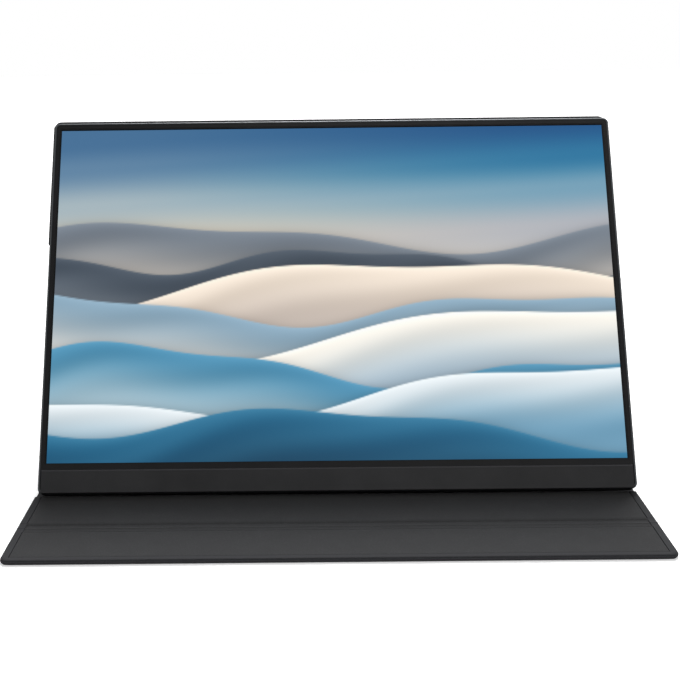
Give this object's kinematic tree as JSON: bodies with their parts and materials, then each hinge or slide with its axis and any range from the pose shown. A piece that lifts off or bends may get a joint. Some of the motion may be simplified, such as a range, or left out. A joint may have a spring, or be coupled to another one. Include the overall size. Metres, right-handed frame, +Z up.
{
  "type": "portable monitor with cover",
  "caption": "Slim portable monitor leaning in its folded leather cover, which forms a stand behind the screen and a flap in front of it.",
  "frame": {"origin": "on the table under the middle of the cover's footprint", "axes": "+X is the viewer's right along the cover's width, +Y points away from the viewer, +Z is up"},
  "size_m": [0.357, 0.2622, 0.213],
  "materials": {
    "housing_metal": "satin anodised grey",
    "bezel_plastic": "fine matte",
    "chin_metal": "dark satin paint",
    "foam": "matte foam",
    "display_glass": "anti-glare",
    "diffuser_film": "matte",
    "clear_acrylic": "clear",
    "white_film": "matte",
    "tray_steel": "plain",
    "led": "matte",
    "circuit_board": "solder mask",
    "flex_cable": "matte",
    "chip": "matte",
    "socket_steel": "plain",
    "black_plastic": "matte",
    "screw_steel": "black zinc",
    "magnet": "nickel plated",
    "button_plastic": "matte",
    "cover_leather": "fine grained, matte",
    "cover_board": "grey board",
    "cover_lining": "fine short pile",
    "crease_leather": "fine grained, matte"
  },
  "bodies": {
    "flap_rear": {"flap_rear_skin": "cover_leather", "flap_rear_board": "cover_board", "flap_rear_lining": "cover_lining", "foot_groove_leather": "crease_leather"},
    "flap_middle": {"flap_middle_skin": "cover_leather", "flap_middle_board": "cover_board", "flap_middle_lining": "cover_lining", "flap_groove_leather": "crease_leather"},
    "flap_front": {"flap_front_skin": "cover_leather", "flap_front_board": "cover_board", "flap_front_lining": "cover_lining", "flap_magnets": "magnet"},
    "spine": {"spine_skin": "cover_leather", "spine_board": "cover_board", "spine_lining": "cover_lining", "spine_crease_leather": "crease_leather"},
    "leg": {"leg_skin": "cover_leather", "leg_board": "cover_board", "leg_lining": "cover_lining", "leg_crease_leather": "crease_leather"},
    "holder": {"holder_skin": "cover_leather", "holder_board": "cover_board", "holder_lining": "cover_lining", "holder_magnets": "magnet", "back_crease_leather": "crease_leather"},
    "monitor": {"rear_shell": "housing_metal", "bezel_frame": "bezel_plastic", "chin_plate": "chin_metal", "foam_seal": "foam", "lcd_panel": "display_glass", "optical_films": "diffuser_film", "light_guide": "clear_acrylic", "reflector_sheet": "white_film", "backlight_tray": "tray_steel", "led_bar": "led", "panel_driver_board": "circuit_board", "panel_ribbon_cable": "flex_cable", "main_board": "circuit_board", "board_components": "chip", "usb_c_sockets": "socket_steel", "mini_hdmi_socket": "socket_steel", "headphone_socket": "black_plastic", "board_screws": "screw_steel", "speakers": "black_plastic", "button_board": "circuit_board", "tact_switches": "socket_steel", "housing_magnets": "magnet"},
    "back_button": {"back_button": "button_plastic"},
    "down_button": {"down_button": "button_plastic"},
    "up_button": {"up_button": "button_plastic"},
    "menu_button": {"menu_button": "button_plastic"},
    "power_button": {"power_button": "button_plastic"}
  },
  "joints": [
    {"name": "foot_groove", "type": "hinge", "parent": "flap_rear", "child": "flap_middle", "pos_m": [0, -0.03759, 0.0013], "axis": [-1, 0, 0], "range_deg": [0, 20]},
    {"name": "flap_groove", "type": "hinge", "parent": "flap_middle", "child": "flap_front", "pos_m": [0, -0.08593, 0.002], "axis": [-1, 0, 0], "range_deg": [0, 145], "deforming": ["flap_groove_leather"]},
    {"name": "spine_crease", "type": "hinge", "parent": "flap_rear", "child": "spine", "pos_m": [0, 0.11729, 0.0013], "axis": [-1, 0, 0], "range_deg": [0, 60], "deforming": ["spine_crease_leather"]},
    {"name": "leg_crease", "type": "hinge", "parent": "spine", "child": "leg", "pos_m": [0, 0.12979, 0.0013], "axis": [-1, 0, 0], "range_deg": [0, 120], "deforming": ["leg_crease_leather"]},
    {"name": "back_crease", "type": "hinge", "parent": "leg", "child": "holder", "pos_m": [0, 0.04643, 0.13612], "axis": [-1, 0, 0], "range_deg": [-60, 0], "deforming": ["back_crease_leather"]},
    {"name": "monitor_release", "type": "slide", "parent": "holder", "child": "monitor", "axis": [0, -0.866, 0.5], "range_m": [0, 0.06]},
    {"name": "back_button_press", "type": "slide", "parent": "monitor", "child": "back_button", "axis": [1, 0, 0], "range_m": [0, 0.0003], "stiffness_N_per_m": 600},
    {"name": "down_button_press", "type": "slide", "parent": "monitor", "child": "down_button", "axis": [1, 0, 0], "range_m": [0, 0.0003], "stiffness_N_per_m": 600},
    {"name": "up_button_press", "type": "slide", "parent": "monitor", "child": "up_button", "axis": [1, 0, 0], "range_m": [0, 0.0003], "stiffness_N_per_m": 600},
    {"name": "menu_button_press", "type": "slide", "parent": "monitor", "child": "menu_button", "axis": [1, 0, 0], "range_m": [0, 0.0003], "stiffness_N_per_m": 600},
    {"name": "power_button_press", "type": "slide", "parent": "monitor", "child": "power_button", "axis": [1, 0, 0], "range_m": [0, 0.0003], "stiffness_N_per_m": 600}
  ],
  "couplings": [
    {"joint": "back_crease", "follows": "leg_crease", "ratio": -0.5}
  ]
}
